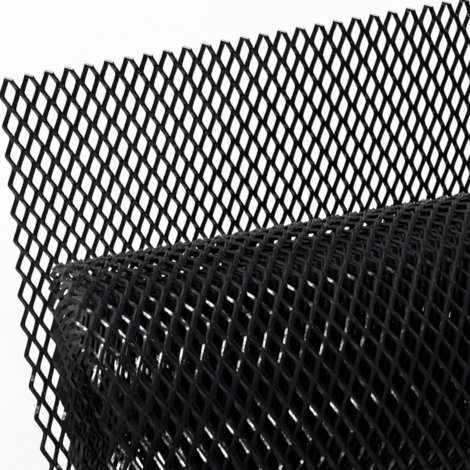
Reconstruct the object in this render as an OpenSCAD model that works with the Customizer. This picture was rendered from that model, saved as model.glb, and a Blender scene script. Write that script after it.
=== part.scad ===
// Sheet of expanded metal grille mesh, partly rolled up, as it rests on a level floor.
// X runs along the axis of the roll, Y from the roll towards the free end, and Z is up.
// The sheet is followed from its free edge: flat, round a wide bend, and then turn by turn inwards.

/* [Sheet] */
// Width of the sheet, along the axis of the roll
sheet_width = 330; // [100:5:600]
// Overall thickness of the raised mesh
mesh_thickness = 1.4; // [0.8:0.1:1.7]
// Length of the free end that is flat, at its short side
flat_length = 38.4; // [10:0.2:80]
// Angle between the free edge and the axis of the roll, because the sheet was rolled askew
askew_angle = 2; // [0:0.5:5]

/* [Roll] */
// Radius of the wide bend between the free end and the roll
lift_radius = 44; // [40:0.5:60]
// Radius of the first quarter bend of the roll
first_radius = 30.6; // [28:0.2:36]
// Distance from the loose outer turn to the next one, middle to middle
outer_pitch = 5.2; // [3:0.1:6]
// Distance between the inner turns, middle to middle
inner_pitch = 1.95; // [1.8:0.05:2]
// Number of quarter bends in the roll
quarter_bends = 28; // [8:1:32]
// Distance by which the inner turns stand out at the right end of the roll
end_step = 3.8; // [0:0.2:10]

/* [Hidden] */
// Headings are in degrees: 0 runs back along the flat end, 90 square to it, up round the roll
lift_heading = 45;
quarter = 90;
full_turn = 360;
// Quarter bends that belong to the loose outer turn, before the sheet passes under itself
outer_quarters = 3;
// Largest angle of one flat step along a bend
step_angle = 5;

// Each quarter bend is a little tighter than the last, so the turns lie one pitch apart
function quarter_radius(k) = first_radius
    - outer_pitch * quarter / full_turn * min(k, outer_quarters + 1)
    - inner_pitch * quarter / full_turn * max(k - outer_quarters - 1, 0);

// Bends as [heading at the start, heading at the end, radius]
bends = concat(
    [[0, lift_heading, lift_radius]],
    [for (k = [0 : quarter_bends - 1])
        [lift_heading + k * quarter, lift_heading + (k + 1) * quarter, quarter_radius(k)]]);

// Change of place when a bend of radius 1 turns from heading a to heading b
function turn_shift(a, b) = [sin(a) - sin(b), cos(a) - cos(b)];

// Place on the middle line of the sheet where bend i starts, as [along the flat end, above it]
function bend_start(i) = i == 0 ? [0, 0]
    : bend_start(i - 1) + bends[i - 1][2] * turn_shift(bends[i - 1][0], bends[i - 1][1]);

// Place in bend i where the sheet has the given heading, moved outwards by side
function bend_place(i, heading, side) = bend_start(i)
    + bends[i][2] * turn_shift(bends[i][0], heading)
    - side * [sin(heading), cos(heading)];

// Mass and place of the middle of mass of bend i, for a sheet that weighs 1 for each mm
function bend_mass(i) = bends[i][2] * (bends[i][1] - bends[i][0]) * PI / 180;
function bend_balance(i) = bend_start(i) + bends[i][2] * [sin(bends[i][0]), cos(bends[i][0])]
    - bends[i][2] ^ 2 / bend_mass(i)
        * [cos(bends[i][0]) - cos(bends[i][1]), sin(bends[i][1]) - sin(bends[i][0])];

function sum(list) = [for (item = list) 1] * list;

// At rest the middle of mass is straight above the point where the wide bend touches the floor
mean_flat_length = flat_length + sheet_width / 2 * sin(askew_angle);
all_bends = [0 : len(bends) - 1];
bend_moments = sum([for (i = all_bends) bend_mass(i) * bend_balance(i)]);
total_length = mean_flat_length + sum([for (i = all_bends) bend_mass(i)]);
balance = (mean_flat_length * [mean_flat_length / 2, 0] + bend_moments) / total_length;
lift_centre = [0, lift_radius];
rest_angle = atan2(lift_centre.x - balance.x, lift_centre.y - balance.y);

// Turned by the rest angle, a place [along the flat end, above it] becomes [along the floor, above it]
function at_rest(place) = [
    place.x * cos(rest_angle) - place.y * sin(rest_angle),
    place.x * sin(rest_angle) + place.y * cos(rest_angle),
];

// Corners of the free edge, as [along the axis, along the flat end]
near_corner = flat_length * [-sin(askew_angle), cos(askew_angle)];
far_corner = near_corner + sheet_width * [cos(askew_angle), sin(askew_angle)];

// The origin lies on the floor under the middle of the whole sheet's box
left_edge = min(0, near_corner.x);
right_edge = sheet_width + end_step;
front_edge = at_rest(bend_place(1, quarter + rest_angle, mesh_thickness / 2) - lift_centre).x;
free_edge = at_rest([far_corner.y, -mesh_thickness / 2] - lift_centre).x;
to_origin = [-(left_edge + right_edge) / 2, -(front_edge + free_edge) / 2, lift_radius + mesh_thickness / 2];

// Points along one side of bends first to last, from one heading on
function side_points(first, last, side) = [
    for (i = [first : last])
        let (sweep = bends[i][1] - bends[i][0], steps = ceil(sweep / step_angle))
            for (k = [(i == first ? 0 : 1) : steps])
                bend_place(i, bends[i][0] + sweep * k / steps, side)
];

function reversed(list) = [for (i = [len(list) - 1 : -1 : 0]) list[i]];

// Outline of the sheet, seen along the roll, from bend first to bend last
function band_outline(first, last) = concat(
    side_points(first, last, mesh_thickness / 2),
    reversed(side_points(first, last, -mesh_thickness / 2)));

// An outline seen along the roll, drawn out over the width of the sheet
module drawn_out(left) {
    translate([left, 0, 0])
        rotate([90, 0, 90])
            linear_extrude(sheet_width)
                children();
}

// The flat end is a little longer on the right, where the sheet was rolled askew
module flat_end() {
    translate([0, 0, -mesh_thickness / 2])
        linear_extrude(mesh_thickness)
            polygon([[0, 0], [sheet_width, 0], far_corner, near_corner]);
}

module rolled_sheet() {
    color("dimgray")
        translate(to_origin)
            rotate([rest_angle, 0, 0])
                translate([0, -lift_centre.x, -lift_centre.y]) {
                    flat_end();
                    drawn_out(0)
                        polygon(band_outline(0, outer_quarters));
                    drawn_out(end_step)
                        polygon(band_outline(outer_quarters + 1, quarter_bends));
                }
}

rolled_sheet();
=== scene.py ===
"""Looks of the car grille mesh sheet: every strand of the partly rolled sheet, its paint,
the floor, the light and the camera."""
import math

import bpy
import numpy as np
from mathutils import Matrix, Vector


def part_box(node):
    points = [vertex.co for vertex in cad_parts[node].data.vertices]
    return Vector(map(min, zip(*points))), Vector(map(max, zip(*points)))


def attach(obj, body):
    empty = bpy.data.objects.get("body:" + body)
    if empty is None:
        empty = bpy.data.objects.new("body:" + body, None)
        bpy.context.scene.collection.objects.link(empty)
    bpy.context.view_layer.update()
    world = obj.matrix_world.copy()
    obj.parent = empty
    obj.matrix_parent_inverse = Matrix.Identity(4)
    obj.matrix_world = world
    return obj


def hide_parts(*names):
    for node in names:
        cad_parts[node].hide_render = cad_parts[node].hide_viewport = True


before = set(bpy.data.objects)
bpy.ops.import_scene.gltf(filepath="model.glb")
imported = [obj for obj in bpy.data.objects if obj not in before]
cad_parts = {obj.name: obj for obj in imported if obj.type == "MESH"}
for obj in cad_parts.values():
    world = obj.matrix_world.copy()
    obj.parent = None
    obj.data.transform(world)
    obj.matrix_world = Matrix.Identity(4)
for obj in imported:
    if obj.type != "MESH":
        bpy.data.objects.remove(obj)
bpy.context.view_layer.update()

MM = 0.001

# The rolled sheet's section, in mm and degrees, as in the CAD source
SHEET_WIDTH = 330.0
MESH_THICKNESS = 1.4
FLAT_LENGTH = 38.4
ASKEW_ANGLE = 2.0
LIFT_RADIUS = 44.0
LIFT_HEADING = 45.0
FIRST_RADIUS = 30.6
OUTER_PITCH = 5.2
INNER_PITCH = 1.95
QUARTER = 90.0
QUARTERS_IN_TURN = 4
QUARTER_BENDS = 28
OUTER_QUARTERS = 3
END_STEP = 3.8

# Cells: ROW is half of a cell's length, along the winding, and COLUMN its width, along the roll's axis.
# Rows of bonds are numbered from 0, at the free edge, and places across from -1, at the left end.
ROW = 3.0
LAST_ROW = 334
COLUMNS = 96
COLUMN = SHEET_WIDTH / COLUMNS
LAST_PLACE = 2 * COLUMNS - 1

# A strand's section is a tilted rectangle, in mm, and two strands side by side make a bond.
# STRAND_CURVE is how much of its S shape a strand has, STRAND_TWIST the change of its tilt half-way,
# in radians, and JITTER how far the bonds stray from even places.
STRAND_WIDTH = 0.81
STRAND_DEPTH = 0.5
STRAND_TILT = math.radians(48.0)
STRAND_TWIST = -0.08
STRAND_CURVE = 0.37
BOND_LENGTH = 0.4
JITTER = 0.05

# The rows of the roll run along its axis, and those of the flat end are askew. Distances in mm past the
# flat end's short side: where the roll's rows have straightened, where the flat end's lines turn into the
# roll's, and where the turns step to the right.
ASKEW_FADE = 160.0
TURN_BLEND = 12.0
STEP_START = 140.0
STEP_END = 200.0
# Shifts of the roll's rows back along the winding and to the right, from the photo's cells
ROW_SHIFT = 4.1
SIDE_SHIFT = 0.35

# Number of points along the sheet that stand for its mass when its balance is worked out
BALANCE_POINTS = 40001


def smooth(low, high, x):
    """A smooth step from 0 at low to 1 at high."""
    u = np.clip((x - low) / (high - low), 0, 1)
    return u * u * (3 - 2 * u)


# Path of the sheet's middle line

def quarter_radius(k):
    """Each quarter bend is a little tighter than the last, so the turns lie one pitch apart."""
    loose = min(k, OUTER_QUARTERS + 1)
    tight = max(k - OUTER_QUARTERS - 1, 0)
    return FIRST_RADIUS - (OUTER_PITCH * loose + INNER_PITCH * tight) / QUARTERS_IN_TURN


def list_bends():
    """Length before each bend, its place and heading at the start and its radius, and the whole length."""
    sweeps = [(0.0, LIFT_HEADING, LIFT_RADIUS)]
    for k in range(QUARTER_BENDS):
        sweeps.append((LIFT_HEADING + QUARTER * k, LIFT_HEADING + QUARTER * (k + 1), quarter_radius(k)))
    bends = []
    length = 0.0
    place = np.zeros(2)
    for start, end, radius in sweeps:
        a, b = math.radians(start), math.radians(end)
        bends.append((length, place.copy(), a, radius))
        length += radius * (b - a)
        place += radius * np.array([math.sin(a) - math.sin(b), math.cos(a) - math.cos(b)])
    return [np.array(values) for values in zip(*bends)], length


(BEND_AT, BEND_PLACE, BEND_HEADING, BEND_RADIUS), ROLL_LENGTH = list_bends()


def section(past_lift, side):
    """Places [along the flat end, above it] at a distance past the lift, moved outwards by side."""
    i = np.clip(np.searchsorted(BEND_AT, past_lift, side="right") - 1, 0, len(BEND_AT) - 1)
    start, first_heading, radius = BEND_PLACE[i], BEND_HEADING[i], BEND_RADIUS[i]
    flat = past_lift < 0
    heading = np.where(flat, 0.0, first_heading + (past_lift - BEND_AT[i]) / radius)
    along = start[:, 0] + radius * (np.sin(first_heading) - np.sin(heading))
    above = start[:, 1] + radius * (np.cos(first_heading) - np.cos(heading))
    along = np.where(flat, -past_lift, along)
    above = np.where(flat, 0.0, above)
    return along - side * np.sin(heading), above - side * np.cos(heading)


def rest_pose():
    """Rest angle, and the shift that brings the lift's centre to its place over the origin."""
    askew = math.radians(ASKEW_ANGLE)
    mean_flat = FLAT_LENGTH + SHEET_WIDTH / 2 * math.sin(askew)
    line = np.linspace(-mean_flat, ROLL_LENGTH, BALANCE_POINTS)
    along, above = section(line, 0 * line)
    angle = math.atan2(-along.mean(), LIFT_RADIUS - above.mean())
    low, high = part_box("rolled_sheet")
    left = min(0.0, -FLAT_LENGTH * math.sin(askew))
    far = FLAT_LENGTH * math.cos(askew) + SHEET_WIDTH * math.sin(askew)
    free_edge = far * math.cos(angle) + (LIFT_RADIUS + MESH_THICKNESS / 2) * math.sin(angle)
    shift = np.array([low.x / MM - left, high.y / MM - free_edge, LIFT_RADIUS + MESH_THICKNESS / 2])
    return angle, shift


REST_ANGLE, TO_ORIGIN = rest_pose()


def placed(x, along, above):
    """The section's places as points of the part's frame, in metres."""
    y, z = along, above - LIFT_RADIUS
    c, s = math.cos(REST_ANGLE), math.sin(REST_ANGLE)
    return np.stack([x, y * c - z * s, y * s + z * c], -1) * MM + TO_ORIGIN * MM


def sheet_point(x, s, side):
    """A point of the flat sheet, x across it and s from its free edge, brought to its place on the roll."""
    askew = math.radians(ASKEW_ANGLE)
    run = s - FLAT_LENGTH
    kept = 1 - smooth(0, ASKEW_FADE, run)
    flat_x = x * math.cos(askew) + run * math.sin(askew)
    roll_x = x + SIDE_SHIFT * (1 - kept) + (END_STEP - SIDE_SHIFT) * smooth(STEP_START, STEP_END, run)
    turn = smooth(-TURN_BLEND, TURN_BLEND, run)
    across = flat_x * (1 - turn) + roll_x * turn
    straight = run * (math.cos(askew) * (1 - turn) + turn)
    past_lift = straight - x * math.sin(askew) * kept - ROW_SHIFT * (1 - kept)
    along, above = section(past_lift, side)
    return placed(across, along, above)


# Strands

def noise(i, j, seed):
    """A fixed pseudo-random value from -1 to 1 for each lattice place, by the usual sine hash."""
    v = np.sin(i * 12.9898 + j * 78.233 + seed * 37.719) * 43758.5453
    return 2 * (v - np.floor(v)) - 1


def strand_sections(spans, bond_length):
    """Sections of a strand from the right half of a bond up to the left half of the next one on its right.
    Each is four corners as offsets (across, along, side) from the first bond's middle."""
    steps = np.linspace(0, 1, spans + 1)
    along = bond_length / 2 + (ROW - bond_length) * steps
    way = steps + STRAND_CURVE * (smooth(0, 1, steps) - steps)
    tilt = STRAND_TILT + STRAND_TWIST * np.sin(np.pi * way)
    half_across = STRAND_WIDTH / 2 * math.cos(STRAND_TILT)
    half_rise = STRAND_WIDTH / 2 * math.sin(STRAND_TILT)
    across = half_across + (COLUMN / 2 - 2 * half_across) * way
    rise = half_rise * (1 - 2 * way)
    wide = np.stack([np.cos(tilt), 0 * along, np.sin(tilt)], -1) * STRAND_WIDTH / 2
    deep = np.stack([-np.sin(tilt), 0 * along, np.cos(tilt)], -1) * STRAND_DEPTH / 2
    middle = np.stack([across, along, rise], -1)
    corners = [middle - wide - deep, middle + wide - deep, middle + wide + deep, middle - wide + deep]
    return np.stack(corners, 1)


def bond_corners():
    """Six corners of a bond's section: left, middle and right below, then right, middle and left above."""
    wide = np.array([math.cos(STRAND_TILT), 0, math.sin(STRAND_TILT)]) * STRAND_WIDTH
    deep = np.array([-math.sin(STRAND_TILT), 0, math.cos(STRAND_TILT)]) * STRAND_DEPTH / 2
    return np.array([-wide - deep, -deep, wide - deep, wide + deep, deep, -wide + deep])


BOND_CORNERS = 6
WHOLE_BOND = [0, 1, 2, 3, 4, 5]
LEFT_HALF = [0, 1, 4, 5]
RIGHT_HALF = [1, 2, 3, 4]


def even_places(i, j):
    """Middles of the bonds as (across, along, side), before they stray."""
    return np.stack([(j + 1) / 2 * COLUMN, i * ROW, 0.0 * i], -1)


def number_bonds(first, last):
    """Row and place across of every bond in rows first to last, and a table of the bonds' numbers."""
    i, j = np.meshgrid(np.arange(first, last + 1), np.arange(-1, LAST_PLACE + 1), indexing="ij")
    real = (i + j) % 2 == 0
    i, j = i[real], j[real]
    numbers = -np.ones((last - first + 1, LAST_PLACE + 2), int)
    numbers[i - first, j + 1] = np.arange(len(i))
    return i, j, numbers


def ring_faces(low, high):
    """Faces between two rings of vertex numbers, one ring to a row."""
    corners = low.shape[1]
    faces = []
    for c in range(corners):
        d = (c + 1) % corners
        faces.append(np.stack([low[:, c], low[:, d], high[:, d], high[:, c]], -1))
    return faces


def mesh_rows(first, last, spans, bond_length):
    """Vertices (across, along, side), faces and end faces of rows first to last, cut through both."""
    i, j, numbers = number_bonds(first, last)
    even = even_places(i, j)
    has_left, has_right = j > -1, j < LAST_PLACE
    middle = even.copy()
    middle[:, 0] += JITTER * noise(i, j, 1) * (has_left & has_right)
    middle[:, 1] += JITTER * noise(i, j, 2) * (i > 0)

    # A bond has six corners at the start of its straight part, and six more at the part's end
    straight_start = middle[:, None, :] + bond_corners()
    straight_end = straight_start.copy()
    straight_start[:, :, 1] += np.where(i == first, 0.0, -bond_length / 2)[:, None]
    straight_end[:, :, 1] += np.where(i == last, 0.0, bond_length / 2)[:, None]
    verts = [np.concatenate([straight_start, straight_end], 1).reshape(-1, 3)]
    total = len(verts[0])
    base = np.arange(len(i)) * 2 * BOND_CORNERS

    def corner_numbers(bonds, corners):
        return np.stack([base[bonds] + c for c in corners], -1)

    # A bond without a straight part is one section, so its strands leave from the corners where they arrive
    top = BOND_CORNERS if bond_length else 0
    faces = []
    if bond_length:
        inner = has_left & has_right
        for bonds, order in ((inner, WHOLE_BOND), (~has_left, RIGHT_HALF), (~has_right, LEFT_HALF)):
            low = corner_numbers(bonds, order)
            faces += ring_faces(low, low + top)

    # End faces where the sheet, or this piece of it, is cut through its bonds
    ends = []
    for cut, lift, order in ((i == first, 0, 1), (i == last, top, -1)):
        for half, there in ((LEFT_HALF, has_left), (RIGHT_HALF, has_right)):
            ends.append(corner_numbers(cut & there, half[::-1][::order]) + lift)

    # Strands up and to the right, and the same run backwards for those up and to the left
    rightward = strand_sections(spans, bond_length)
    leftward = rightward[::-1] * [1, -1, 1] + [-COLUMN / 2, ROW, 0]
    strands = ((1, RIGHT_HALF, LEFT_HALF, rightward), (-1, LEFT_HALF, RIGHT_HALF, leftward))
    for sign, start, end, offsets in strands:
        next_i, next_j = i + 1, j + sign
        a = np.nonzero((next_i <= last) & (next_j >= -1) & (next_j <= LAST_PLACE))[0]
        b = numbers[next_i[a] - first, next_j[a] + 1]
        rings = [corner_numbers(a, start) + top]
        for k in range(1, spans):
            share = k / spans
            stray = (middle[a] - even[a]) * (1 - share) + (middle[b] - even[b]) * share
            verts.append((even[a][:, None, :] + stray[:, None, :] + offsets[k]).reshape(-1, 3))
            rings.append(total + np.arange(len(verts[-1])).reshape(-1, 4))
            total += len(verts[-1])
        rings.append(corner_numbers(b, end))
        for low, high in zip(rings[:-1], rings[1:]):
            faces += ring_faces(low, high)
    return np.concatenate(verts), np.concatenate(faces), np.concatenate(ends)


# Edges that turn by more than this angle, in degrees, stay sharp
SHARP_ANGLE = 50


def make_object(name, points, faces, materials, face_material):
    """An object of four-cornered faces and the points they use, with a material number for each face."""
    used, inverse = np.unique(faces.ravel(), return_inverse=True)
    points = points[used]
    faces = inverse.reshape(faces.shape).astype(np.int32)
    mesh = bpy.data.meshes.new(name)
    mesh.vertices.add(len(points))
    mesh.vertices.foreach_set("co", points.astype(np.float32).ravel())
    mesh.loops.add(faces.size)
    mesh.loops.foreach_set("vertex_index", faces.ravel())
    mesh.polygons.add(len(faces))
    mesh.polygons.foreach_set("loop_start", np.arange(0, faces.size, faces.shape[1], dtype=np.int32))
    mesh.polygons.foreach_set("material_index", face_material.astype(np.int32))
    mesh.update(calc_edges=True)
    mesh.validate()
    mesh.shade_smooth()
    mesh.set_sharp_from_angle(angle=math.radians(SHARP_ANGLE))
    for material in materials:
        mesh.materials.append(material)
    obj = bpy.data.objects.new(name, mesh)
    bpy.context.scene.collection.objects.link(obj)
    return obj


# End faces as near as this to an end of the sheet, in mm, are its cut ends
CUT_REACH = 1.0


def mesh_piece(name, first, last, spans, materials):
    """One piece of the sheet, in paint, with bare metal at the sheet's own cut ends."""
    verts, faces, ends = mesh_rows(first, last, spans, BOND_LENGTH if spans > 1 else 0.0)
    points = sheet_point(verts[:, 0], verts[:, 1], -verts[:, 2])
    end_at = verts[ends[:, 0], 1]
    is_cut = (end_at < CUT_REACH) | (end_at > LAST_ROW * ROW - CUT_REACH)
    face_material = np.concatenate([np.zeros(len(faces), int), is_cut])
    obj = make_object(name, points, np.concatenate([faces, ends]), materials, face_material)
    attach(obj, "root")
    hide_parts("rolled_sheet")


# Materials

# The paint rounds every edge of the strands by about this radius, in mm
EDGE_RADIUS = 0.09
EDGE_SAMPLES = 4
# Sizes of the paint's drops and of its cloudy patches, in mm, and the height of the drops
DROP_SIZE = 0.5
DROP_DETAIL = 1.0
DROP_HEIGHT = 0.012
PATCH_SIZE = 6.0
PATCH_DETAIL = 3.0
# Levels of the patches' noise that are all dark and all pale paint, and both colours
PATCH_LEVELS = (0.35, 0.7)
PATCH_COLOURS = ((0.0055, 0.005, 0.0066, 1), (0.0105, 0.0097, 0.0122, 1))
# Levels of the drops' noise, and the paint's roughness at both
DROP_LEVELS = (0.3, 0.7)
PAINT_ROUGHNESS = (0.08, 0.16)
PAINT_SPECULAR = 0.25

METAL_COLOUR = (0.55, 0.55, 0.57, 1)
METAL_ROUGHNESS = 0.45


def principled(name):
    """A new material with its shader."""
    material = bpy.data.materials.new(name)
    material.use_nodes = True
    return material, material.node_tree.nodes["Principled BSDF"]


def noise_texture(tree, feature_size, detail):
    """A noise whose features have about the given size in mm, in the object's own coordinates."""
    texture = tree.nodes.new("ShaderNodeTexNoise")
    texture.inputs["Scale"].default_value = 1 / (feature_size * MM)
    texture.inputs["Detail"].default_value = detail
    place = tree.nodes.new("ShaderNodeTexCoord")
    tree.links.new(place.outputs["Object"], texture.inputs["Vector"])
    return texture.outputs[0]


def remap(tree, value, levels, results):
    """A value brought from the range of levels to the range of results."""
    node = tree.nodes.new("ShaderNodeMapRange")
    for socket, number in zip(node.inputs[1:5], levels + results):
        socket.default_value = number
    tree.links.new(value, node.inputs[0])
    return node.outputs[0]


def paint_material():
    """Glossy black paint, with cloudy patches, small drops and rounded edges."""
    material, shader = principled("black_paint")
    shader.inputs["Specular IOR Level"].default_value = PAINT_SPECULAR
    tree = material.node_tree
    patches = noise_texture(tree, PATCH_SIZE, PATCH_DETAIL)
    drops = noise_texture(tree, DROP_SIZE, DROP_DETAIL)
    ramp = tree.nodes.new("ShaderNodeValToRGB")
    for element, level, colour in zip(ramp.color_ramp.elements, PATCH_LEVELS, PATCH_COLOURS):
        element.position = level
        element.color = colour
    tree.links.new(patches, ramp.inputs[0])
    tree.links.new(ramp.outputs[0], shader.inputs["Base Color"])
    tree.links.new(remap(tree, drops, DROP_LEVELS, PAINT_ROUGHNESS), shader.inputs["Roughness"])
    edge = tree.nodes.new("ShaderNodeBevel")
    edge.samples = EDGE_SAMPLES
    edge.inputs["Radius"].default_value = EDGE_RADIUS * MM
    bump = tree.nodes.new("ShaderNodeBump")
    bump.inputs["Distance"].default_value = DROP_HEIGHT * MM
    tree.links.new(drops, bump.inputs["Height"])
    tree.links.new(edge.outputs[0], bump.inputs["Normal"])
    tree.links.new(bump.outputs[0], shader.inputs["Normal"])
    return material


def metal_material():
    """Bare aluminium of the cut ends."""
    material, shader = principled("bare_aluminium")
    shader.inputs["Base Color"].default_value = METAL_COLOUR
    shader.inputs["Metallic"].default_value = 1.0
    shader.inputs["Roughness"].default_value = METAL_ROUGHNESS
    return material


# Pieces as (name, first row, last row, spans in each strand). The inner turns, which hardly show, have
# plain strands.
PIECES = [
    ("mesh_flat_end", 0, 30, 3),
    ("mesh_outer_turn_1", 30, 60, 3),
    ("mesh_outer_turn_2", 60, 90, 3),
    ("mesh_inner_turns_1", 90, 170, 1),
    ("mesh_inner_turns_2", 170, 250, 1),
    ("mesh_inner_turns_3", 250, LAST_ROW, 1),
]
sheet_materials = [paint_material(), metal_material()]
for name, first, last, spans in PIECES:
    mesh_piece(name, first, last, spans, sheet_materials)


# Floor

# Half of the floor's side, in metres
FLOOR_REACH = 6
FLOOR_COLOUR = (0.5, 0.5, 0.5, 1)
FLOOR_ROUGHNESS = 0.8
# Share of plain white in the floor, to the camera and in reflections; the rest is lit and takes the shadow
CAMERA_GLOW = 0.93
MIRRORED_GLOW = 0.25


def math_node(tree, operation, *values):
    """The result of a math node whose inputs are numbers or results of other nodes."""
    node = tree.nodes.new("ShaderNodeMath")
    node.operation = operation
    for socket, value in zip(node.inputs, values):
        if isinstance(value, bpy.types.NodeSocket):
            tree.links.new(value, socket)
        else:
            socket.default_value = value
    return node.outputs[0]


def floor_material():
    """Pale floor, nearly plain white to the camera and darker in the paint's reflections."""
    material, shader = principled("floor_white")
    shader.inputs["Base Color"].default_value = FLOOR_COLOUR
    shader.inputs["Roughness"].default_value = FLOOR_ROUGHNESS
    shader.inputs["Specular IOR Level"].default_value = 0.0
    tree = material.node_tree
    path = tree.nodes.new("ShaderNodeLightPath").outputs
    mirrored = math_node(tree, "MAXIMUM", path["Is Glossy Ray"], path["Is Transmission Ray"])
    mirrored_share = math_node(tree, "MULTIPLY", mirrored, MIRRORED_GLOW)
    share = math_node(tree, "MULTIPLY_ADD", path["Is Camera Ray"], CAMERA_GLOW, mirrored_share)
    white = tree.nodes.new("ShaderNodeEmission")
    mix = tree.nodes.new("ShaderNodeMixShader")
    tree.links.new(share, mix.inputs[0])
    tree.links.new(shader.outputs[0], mix.inputs[1])
    tree.links.new(white.outputs[0], mix.inputs[2])
    tree.links.new(mix.outputs[0], tree.nodes["Material Output"].inputs["Surface"])
    return material


floor_mesh = bpy.data.meshes.new("floor")
floor_corners = [(x * FLOOR_REACH, y * FLOOR_REACH, 0) for x, y in ((-1, -1), (1, -1), (1, 1), (-1, 1))]
floor_mesh.from_pydata(floor_corners, [], [(0, 1, 2, 3)])
floor_mesh.materials.append(floor_material())
floor = bpy.data.objects.new("floor", floor_mesh)
bpy.context.scene.collection.objects.link(floor)


# Light

SKY_STRENGTH = 0.12
# The lamps face the rows at the top of the roll, near its left end
LIT_ROWS = Vector((-0.135, -0.017, 0.06))

world = bpy.data.worlds.new("world")
world.use_nodes = True
sky = world.node_tree.nodes["Background"]
sky.inputs["Color"].default_value = (1, 1, 1, 1)
sky.inputs["Strength"].default_value = SKY_STRENGTH
bpy.context.scene.world = world


def area_light(name, azimuth, elevation, distance, sides, lean, radiance):
    """A lamp of even radiance that faces the lit rows. From there it is seen at an azimuth and an
    elevation, turned by lean about the line to it, all in degrees. Its distance and sides are in metres."""
    data = bpy.data.lights.new(name, "AREA")
    data.shape = "RECTANGLE"
    data.size, data.size_y = sides
    data.energy = radiance * math.pi * sides[0] * sides[1]
    a, e = math.radians(azimuth), math.radians(elevation)
    towards = Vector((math.cos(a) * math.cos(e), math.sin(a) * math.cos(e), math.sin(e)))
    facing = (-towards).to_track_quat("-Z", "Y").to_matrix().to_4x4()
    leaning = Matrix.Rotation(math.radians(lean), 4, "Z")
    light = bpy.data.objects.new(name, data)
    light.matrix_world = Matrix.Translation(LIT_ROWS + towards * distance) @ facing @ leaning
    light.visible_camera = False
    bpy.context.scene.collection.objects.link(light)


# The two strips give the two bands of bright streaks on the roll, and the box lights it softly
area_light("left_strip", azimuth=146, elevation=-1.4, distance=0.42,
           sides=(0.11, 0.042), lean=90, radiance=50)
area_light("front_strip", azimuth=-154, elevation=10, distance=0.35,
           sides=(0.09, 0.03), lean=-60, radiance=62)
area_light("soft_box", azimuth=60, elevation=34, distance=1.2,
           sides=(0.5, 0.5), lean=0, radiance=36)


# Camera

# From a fit to the cells: the camera's place, in mm, and axes on the flat end's frame
FIT_PLACE = np.array([-43.96151, 193.13695, 251.64175])
FIT_RIGHT = np.array([0.94655, -0.00177, 0.32256])
FIT_LOOK = np.array([0.25812, -0.59558, -0.7607])
FIT_FOCAL_PIXELS = 1782.55
FRAME_PIXELS = 470
SENSOR_MM = 36
# Nearest distance that the camera shows, in metres
CLIP_START = 0.01


def from_flat_end(v):
    """A direction or a shift on the flat end's frame, turned to the part's frame."""
    a = math.radians(ASKEW_ANGLE)
    x = v[0] * math.cos(a) - v[1] * math.sin(a)
    y = v[0] * math.sin(a) + v[1] * math.cos(a)
    z = v[2]
    c, s = math.cos(REST_ANGLE), math.sin(REST_ANGLE)
    return np.array([x, y * c - z * s, y * s + z * c])


camera_data = bpy.data.cameras.new("camera")
camera_data.sensor_width = SENSOR_MM
camera_data.lens = SENSOR_MM * FIT_FOCAL_PIXELS / FRAME_PIXELS
camera_data.clip_start = CLIP_START
camera = bpy.data.objects.new("camera", camera_data)
lift_centre = [0, 0, MESH_THICKNESS / 2 + LIFT_RADIUS]
camera_place = from_flat_end(FIT_PLACE - lift_centre) * MM + TO_ORIGIN * MM
look = from_flat_end(FIT_LOOK)
right = from_flat_end(FIT_RIGHT)
up = np.cross(right, look)
camera_axes = Matrix([[right[k], up[k], -look[k]] for k in range(3)])
camera.matrix_world = Matrix.Translation(Vector(camera_place)) @ camera_axes.to_4x4()
bpy.context.scene.collection.objects.link(camera)
bpy.context.scene.camera = camera

bpy.context.scene.view_settings.view_transform = "Standard"
